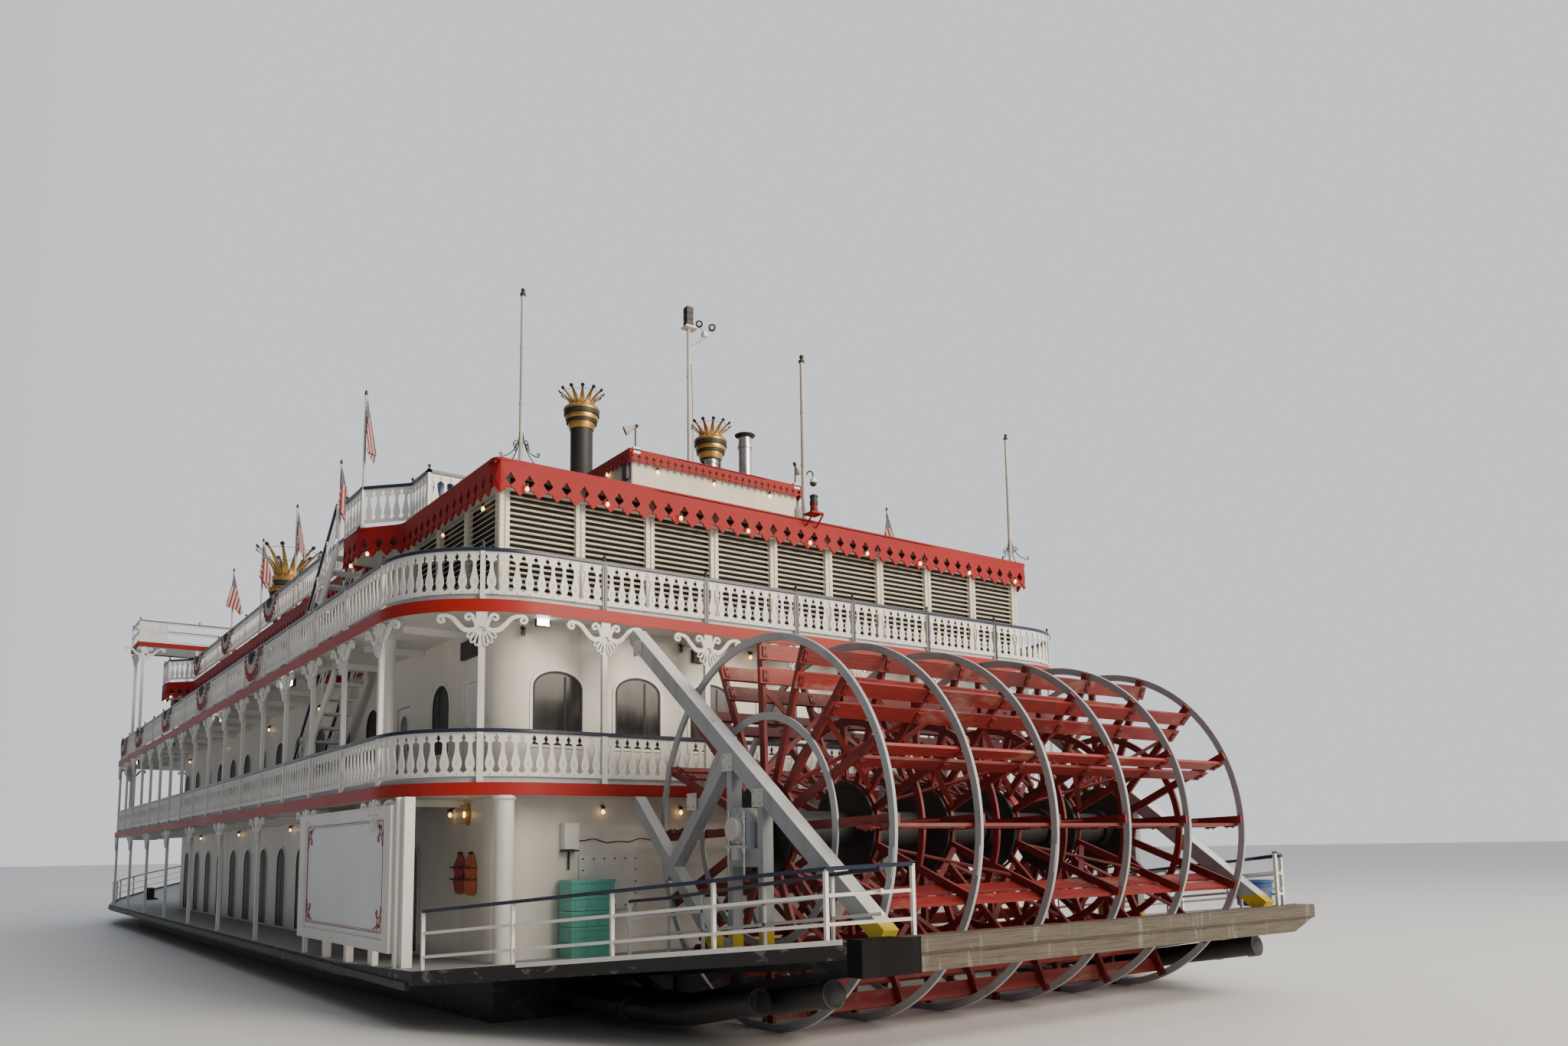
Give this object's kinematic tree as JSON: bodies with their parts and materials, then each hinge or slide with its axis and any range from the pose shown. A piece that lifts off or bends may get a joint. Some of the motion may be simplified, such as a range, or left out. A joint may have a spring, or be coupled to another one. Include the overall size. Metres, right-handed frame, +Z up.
{
  "type": "sternwheel paddle boat (scale model, 1:2)",
  "caption": "Sternwheel paddle boat, half-size model: decked barge hull, tiered white decks with railed galleries, red stern paddle wheel that turns, steering rudders, swinging cabin doors.",
  "frame": {"origin": "on the flat bottom of the hull, at mid length on the centreline", "axes": "+X towards the bow, +Y to port, +Z up"},
  "size_m": [35, 9.76, 10.54],
  "materials": {
    "white_paint": "satin, slightly chalky",
    "red_paint": "satin",
    "bucket_paint": "weathered red, water stained",
    "black_paint": "matt, weathered",
    "grey_paint": "satin grey",
    "deck_paint": "non-slip grey",
    "beam_timber": "weathered tan timber",
    "cream_paint": "satin cream",
    "gilt": "gilded crown over a black tube",
    "steel": "brushed",
    "navy_paint": "gloss navy rail caps",
    "glass": "dark tinted window glass",
    "flag_cloth": "striped flag cloth"
  },
  "bodies": {
    "boat": {"bridge_wing_port": "white_paint", "bridge_wing_starboard": "white_paint", "deck_2": "red_paint", "deck_3": "red_paint", "deck_3_aft": "red_paint", "deck_3_stair_well": "red_paint", "fantail_port": "deck_paint", "fantail_rail_port": "white_paint", "fantail_rail_starboard": "white_paint", "fantail_starboard": "deck_paint", "fantail_strut_port": "black_paint", "fantail_strut_starboard": "black_paint", "house_deck_2": "white_paint", "house_deck_3": "white_paint", "house_main_deck": "white_paint", "hull": "black_paint", "louvre_enclosure": "cream_paint", "main_deck": "deck_paint", "mast_aft_port": "white_paint", "mast_aft_starboard": "white_paint", "mast_antenna": "white_paint", "mast_lantern": "white_paint", "pilothouse": "white_paint", "pilothouse_roof": "red_paint", "rail_deck_3_port": "white_paint", "rail_deck_3_starboard": "white_paint", "rail_roof_aft_port": "white_paint", "rail_roof_port": "white_paint", "rail_roof_starboard": "white_paint", "roof": "red_paint", "roof_house": "cream_paint", "roof_house_top": "red_paint", "side_deck_2_port": "white_paint", "side_deck_2_starboard": "white_paint", "side_main_deck_port": "white_paint", "side_main_deck_starboard": "white_paint", "sign_panel": "white_paint", "stack_aft_port": "gilt", "stack_aft_starboard": "gilt", "stack_forward_port": "gilt", "stack_forward_starboard": "gilt", "stair_to_deck_3": "white_paint", "stair_to_roof": "white_paint", "steel_exhaust": "steel", "stern_beam": "beam_timber", "stern_posts_deck_2": "white_paint", "wheel_truss_port": "grey_paint", "wheel_truss_starboard": "grey_paint"},
    "paddle_wheel": {"wheel_shaft": "black_paint", "wheel_buckets": "bucket_paint", "wheel_ring_1": "grey_paint", "wheel_ring_2": "grey_paint", "wheel_ring_3": "grey_paint", "wheel_ring_4": "grey_paint", "wheel_ring_5": "grey_paint", "wheel_ring_6": "grey_paint"},
    "rudder_port": {"rudder_port": "black_paint"},
    "rudder_starboard": {"rudder_starboard": "black_paint"},
    "cabin_door_port": {"cabin_door_port": "white_paint"},
    "cabin_door_starboard": {"cabin_door_starboard": "white_paint"}
  },
  "joints": [
    {"name": "paddle_wheel_turn", "type": "hinge", "parent": "boat", "child": "paddle_wheel", "pos_m": [-15.41, 0, 2.755], "axis": [0, 1, 0], "continuous": true},
    {"name": "rudder_port_steer", "type": "hinge", "parent": "boat", "child": "rudder_port", "pos_m": [-12.25, 1.5, 0.6], "axis": [0, 0, 1], "range_deg": [-35, 35]},
    {"name": "rudder_starboard_steer", "type": "hinge", "parent": "boat", "child": "rudder_starboard", "pos_m": [-12.25, -1.5, 0.6], "axis": [0, 0, 1], "range_deg": [-35, 35]},
    {"name": "cabin_door_port_swing", "type": "hinge", "parent": "boat", "child": "cabin_door_port", "pos_m": [-9.945, 3.92, 3.8], "axis": [0, 0, -1], "range_deg": [0, 95]},
    {"name": "cabin_door_starboard_swing", "type": "hinge", "parent": "boat", "child": "cabin_door_starboard", "pos_m": [-9.945, -3.92, 3.8], "axis": [0, 0, 1], "range_deg": [0, 95]}
  ],
  "couplings": [
    {"joint": "rudder_starboard_steer", "follows": "rudder_port_steer", "ratio": 1}
  ]
}
